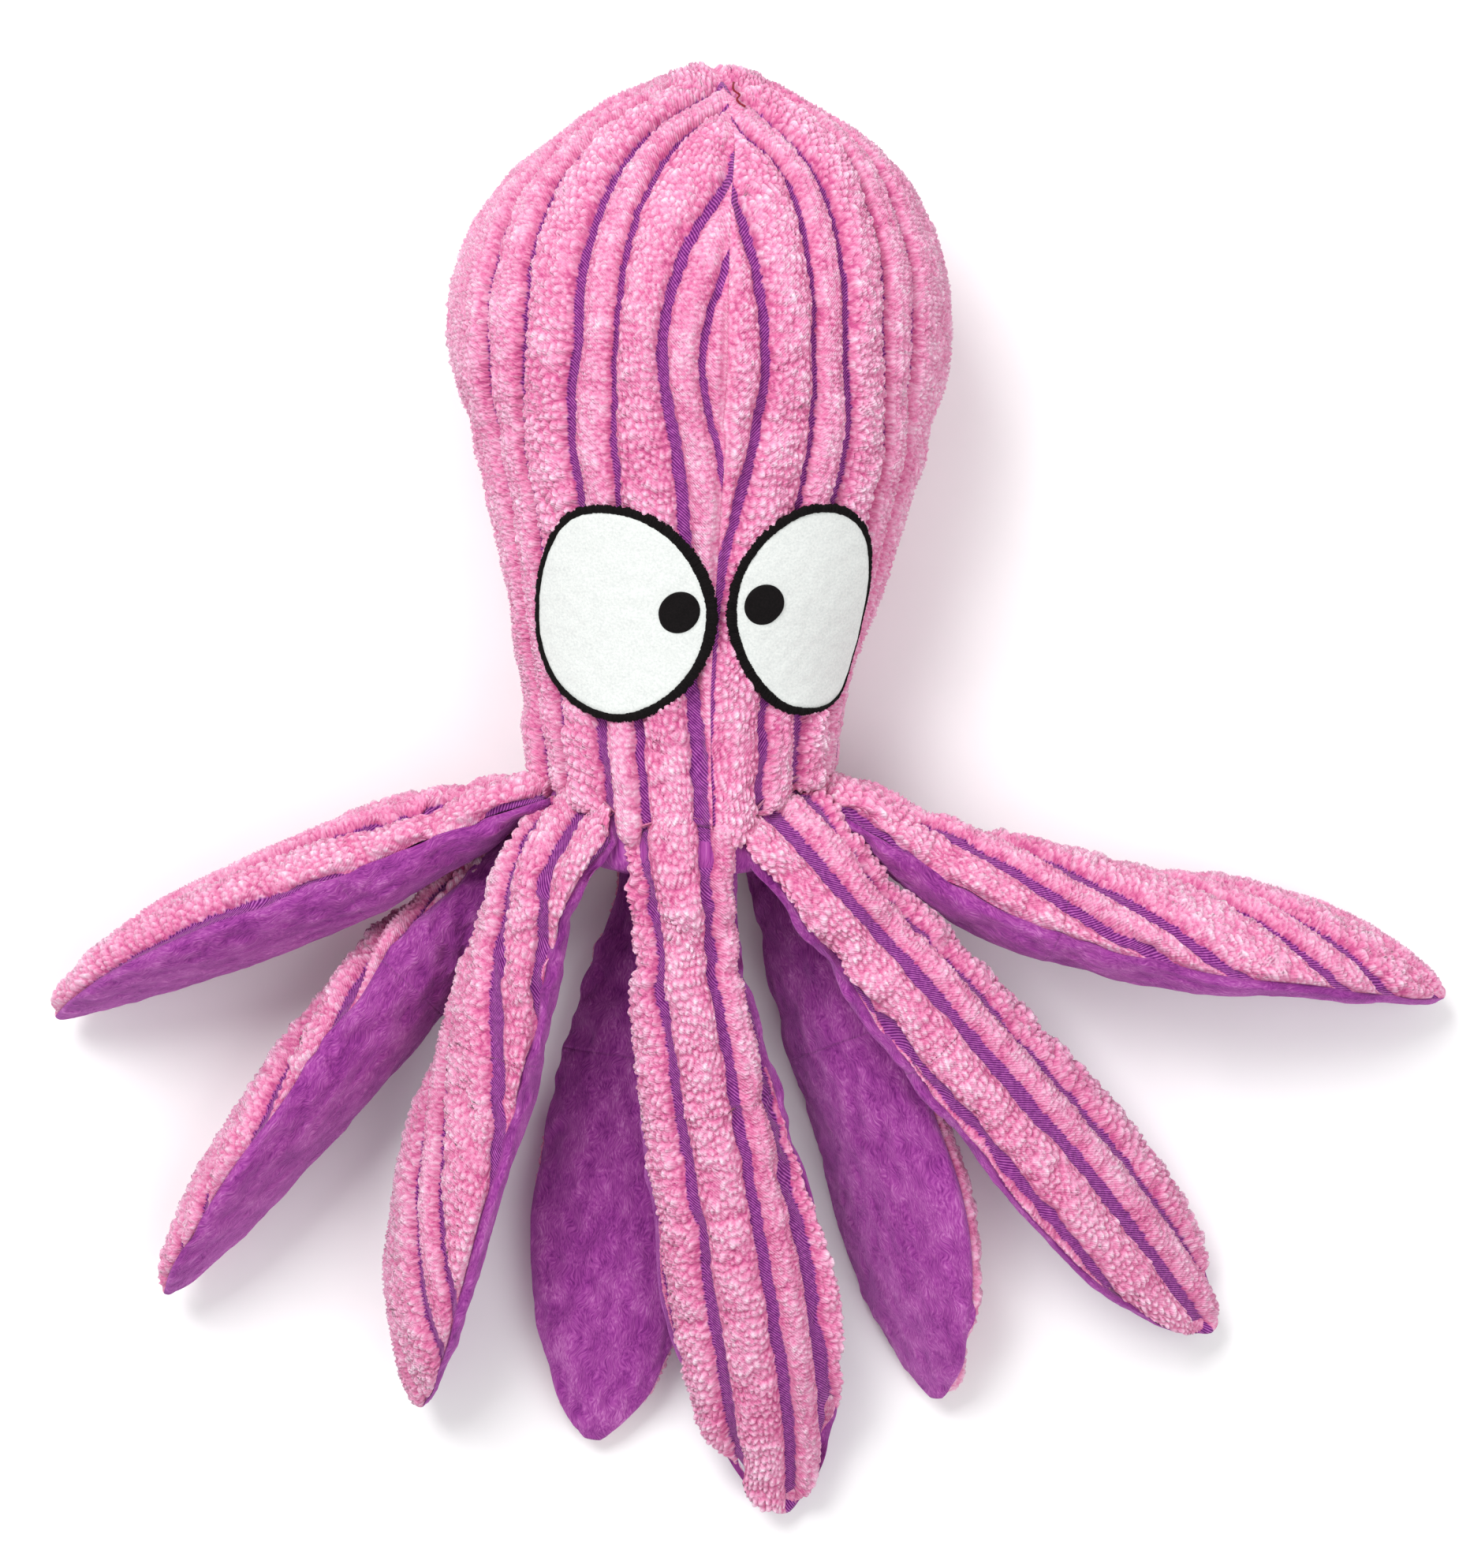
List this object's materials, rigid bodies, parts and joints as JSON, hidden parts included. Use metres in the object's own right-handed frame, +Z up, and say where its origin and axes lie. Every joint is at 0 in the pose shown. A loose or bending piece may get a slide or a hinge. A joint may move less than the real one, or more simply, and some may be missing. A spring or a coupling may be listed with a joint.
{
  "type": "plush octopus toy",
  "caption": "Soft stuffed octopus lying on its back, with a ribbed striped head, felt eyes and bending paddle legs with smooth plush inner faces.",
  "frame": {"origin": "on the surface the toy lies on, in the middle of the flattened patch behind the widest part of the head", "axes": "+Z up from the surface and out of the face, +Y along the body towards the crown, +X to the right seen from above the face"},
  "size_m": [0.3256, 0.3352, 0.085],
  "materials": {
    "striped_plush": "wide-wale chenille pile in pink ribs on a woven purple ground",
    "smooth_plush": "short brushed purple plush",
    "white_felt": "pressed white felt",
    "black_stitching": "dense black zigzag embroidery",
    "fibre_fill": "loose white polyester fibre",
    "crinkle_film": "thin crinkled polymer film",
    "squeaker_plastic": "soft moulded plastic",
    "red_thread": "twisted sewing thread"
  },
  "bodies": {
    "body": {"head_front_left": "striped_plush", "head_front_right": "striped_plush", "head_back": "striped_plush", "stuffing_front": "fibre_fill", "stuffing_back": "fibre_fill", "base_panel": "smooth_plush", "squeaker_bladder": "squeaker_plastic", "eye_felt_left": "white_felt", "eye_felt_right": "white_felt", "eye_outline_left": "black_stitching", "eye_outline_right": "black_stitching", "pupil_left": "black_stitching", "pupil_right": "black_stitching", "crown_thread": "red_thread"},
    "squeaker_press": {"squeaker_plug": "squeaker_plastic", "squeaker_reed": "squeaker_plastic"},
    "leg_front_root": {"leg_front_outer_root": "striped_plush", "leg_front_inner_root": "smooth_plush"},
    "leg_front_tip": {"leg_front_outer_tip": "striped_plush", "leg_front_inner_tip": "smooth_plush", "leg_front_crinkle": "crinkle_film"},
    "leg_front_left_root": {"leg_front_left_outer_root": "striped_plush", "leg_front_left_inner_root": "smooth_plush"},
    "leg_front_left_tip": {"leg_front_left_outer_tip": "striped_plush", "leg_front_left_inner_tip": "smooth_plush", "leg_front_left_crinkle": "crinkle_film"},
    "leg_left_root": {"leg_left_outer_root": "striped_plush", "leg_left_inner_root": "smooth_plush"},
    "leg_left_tip": {"leg_left_outer_tip": "striped_plush", "leg_left_inner_tip": "smooth_plush", "leg_left_crinkle": "crinkle_film"},
    "leg_back_left_root": {"leg_back_left_outer_root": "striped_plush", "leg_back_left_inner_root": "smooth_plush"},
    "leg_back_left_tip": {"leg_back_left_outer_tip": "striped_plush", "leg_back_left_inner_tip": "smooth_plush", "leg_back_left_crinkle": "crinkle_film"},
    "leg_back_root": {"leg_back_outer_root": "striped_plush", "leg_back_inner_root": "smooth_plush"},
    "leg_back_tip": {"leg_back_outer_tip": "striped_plush", "leg_back_inner_tip": "smooth_plush", "leg_back_crinkle": "crinkle_film"},
    "leg_back_right_root": {"leg_back_right_outer_root": "striped_plush", "leg_back_right_inner_root": "smooth_plush"},
    "leg_back_right_tip": {"leg_back_right_outer_tip": "striped_plush", "leg_back_right_inner_tip": "smooth_plush", "leg_back_right_crinkle": "crinkle_film"},
    "leg_right_root": {"leg_right_outer_root": "striped_plush", "leg_right_inner_root": "smooth_plush"},
    "leg_right_tip": {"leg_right_outer_tip": "striped_plush", "leg_right_inner_tip": "smooth_plush", "leg_right_crinkle": "crinkle_film"},
    "leg_front_right_root": {"leg_front_right_outer_root": "striped_plush", "leg_front_right_inner_root": "smooth_plush"},
    "leg_front_right_tip": {"leg_front_right_outer_tip": "striped_plush", "leg_front_right_inner_tip": "smooth_plush", "leg_front_right_crinkle": "crinkle_film"}
  },
  "joints": [
    {"name": "front_leg_flap", "type": "hinge", "parent": "body", "child": "leg_front_root", "pos_m": [-0.0025, -0.1115, 0.058], "axis": [-0.9994, 0.0351, 0], "range_deg": [0, 65]},
    {"name": "front_leg_bend", "type": "hinge", "parent": "leg_front_root", "child": "leg_front_tip", "pos_m": [0.00638, -0.19347, 0.03573], "axis": [-0.9786, -0.1713, -0.1139], "range_deg": [0, 56]},
    {"name": "front_left_leg_flap", "type": "hinge", "parent": "body", "child": "leg_front_left_root", "pos_m": [-0.025, -0.109, 0.0515], "axis": [-0.5324, 0.4608, -0.7101], "range_deg": [0, 55]},
    {"name": "front_left_leg_bend", "type": "hinge", "parent": "leg_front_left_root", "child": "leg_front_left_tip", "pos_m": [-0.05111, -0.17718, 0.03596], "axis": [-0.4434, 0.3296, -0.8335], "range_deg": [-8, 40]},
    {"name": "left_leg_flap", "type": "hinge", "parent": "body", "child": "leg_left_root", "pos_m": [-0.0345, -0.1042, 0.034], "axis": [0, 0, -1], "range_deg": [0, 26]},
    {"name": "left_leg_bend", "type": "hinge", "parent": "leg_left_root", "child": "leg_left_tip", "pos_m": [-0.09393, -0.12826, 0.02648], "axis": [0.1719, 0.0056, -0.9851], "range_deg": [-3, 54]},
    {"name": "back_left_leg_flap", "type": "hinge", "parent": "body", "child": "leg_back_left_root", "pos_m": [-0.025, -0.1095, 0.017], "axis": [0.4175, -0.609, -0.6744], "range_deg": [-1, 0]},
    {"name": "back_left_leg_bend", "type": "hinge", "parent": "leg_back_left_root", "child": "leg_back_left_tip", "pos_m": [-0.07924, -0.16135, 0.02115], "axis": [0.22, -0.2196, -0.9505], "range_deg": [-30, 0]},
    {"name": "back_leg_flap", "type": "hinge", "parent": "body", "child": "leg_back_root", "pos_m": [-0.003, -0.111, 0.0112], "axis": [0.959, -0.2834, 0], "range_deg": [-2, 0]},
    {"name": "back_leg_bend", "type": "hinge", "parent": "leg_back_root", "child": "leg_back_tip", "pos_m": [-0.01755, -0.18262, 0.01137], "axis": [0.995, -0.0829, 0.0556], "range_deg": [-3, 0]},
    {"name": "back_right_leg_flap", "type": "hinge", "parent": "body", "child": "leg_back_right_root", "pos_m": [0.018, -0.1095, 0.017], "axis": [0.7688, 0.207, 0.605], "range_deg": [-3, 0]},
    {"name": "back_right_leg_bend", "type": "hinge", "parent": "leg_back_right_root", "child": "leg_back_right_tip", "pos_m": [0.03992, -0.17701, 0.01795], "axis": [0.6861, 0.2346, 0.6887], "range_deg": [-9, 0]},
    {"name": "right_leg_flap", "type": "hinge", "parent": "body", "child": "leg_right_root", "pos_m": [0.0285, -0.1042, 0.034], "axis": [0, 0, 1], "range_deg": [-4, 30]},
    {"name": "right_leg_bend", "type": "hinge", "parent": "leg_right_root", "child": "leg_right_tip", "pos_m": [0.0997, -0.1346, 0.02625], "axis": [0.089, -0.3889, 0.917], "range_deg": [0, 54]},
    {"name": "front_right_leg_flap", "type": "hinge", "parent": "body", "child": "leg_front_right_root", "pos_m": [0.0185, -0.1095, 0.0515], "axis": [-0.6565, -0.5496, 0.5166], "range_deg": [0, 60]},
    {"name": "front_right_leg_bend", "type": "hinge", "parent": "leg_front_right_root", "child": "leg_front_right_tip", "pos_m": [0.06975, -0.17063, 0.0345], "axis": [-0.4864, -0.656, 0.5771], "range_deg": [-5, 56]},
    {"name": "squeaker_squeeze", "type": "slide", "parent": "body", "child": "squeaker_press", "axis": [0, 0, -1], "range_m": [0, 0.008], "stiffness_N_per_m": 300, "deforming": ["squeaker_bladder"]}
  ]
}
